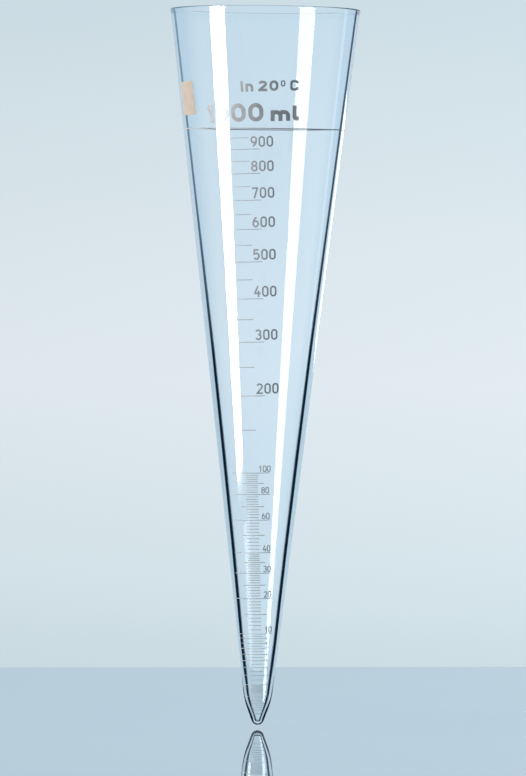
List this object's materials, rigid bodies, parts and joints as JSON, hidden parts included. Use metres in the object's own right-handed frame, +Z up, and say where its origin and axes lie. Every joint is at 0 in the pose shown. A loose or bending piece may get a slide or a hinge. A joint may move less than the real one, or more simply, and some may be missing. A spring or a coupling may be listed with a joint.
{
  "type": "imhoff cone",
  "caption": "Tall closed glass cone with a rounded tip and a printed volume scale, for reading how much matter settles out of water.",
  "frame": {"origin": "on the cone's axis, in the plane of the rack ring that carries the cone, where its outside is 100 mm across", "axes": "+Z up the axis towards the rim; -Y towards the reader, through the printed scale"},
  "size_m": [0.1204, 0.1203, 0.455],
  "materials": {
    "glass": "clear, fire-polished",
    "enamel": "fired grey-brown enamel",
    "matt_enamel": "matt, pale, takes pencil"
  },
  "bodies": {
    "root": {"glass_cone": "glass", "ring_line_1000": "enamel", "capacity_lettering": "enamel", "temperature_lettering": "enamel", "writing_field": "matt_enamel", "lines_100_to_950": "enamel", "lines_40_to_100": "enamel", "lines_10_to_40": "enamel", "lines_2_to_10": "enamel", "lines_0_to_2": "enamel", "number_900": "enamel", "number_800": "enamel", "number_700": "enamel", "number_600": "enamel", "number_500": "enamel", "number_400": "enamel", "number_300": "enamel", "number_200": "enamel", "number_100": "enamel", "number_80": "enamel", "number_60": "enamel", "number_40": "enamel", "number_30": "enamel", "number_20": "enamel", "number_10": "enamel", "digit_9": "enamel", "digit_8": "enamel", "digit_7": "enamel", "digit_6": "enamel", "digit_5": "enamel", "digit_4": "enamel", "digit_3": "enamel", "digit_2": "enamel", "digit_1": "enamel"}
  },
  "joints": []
}
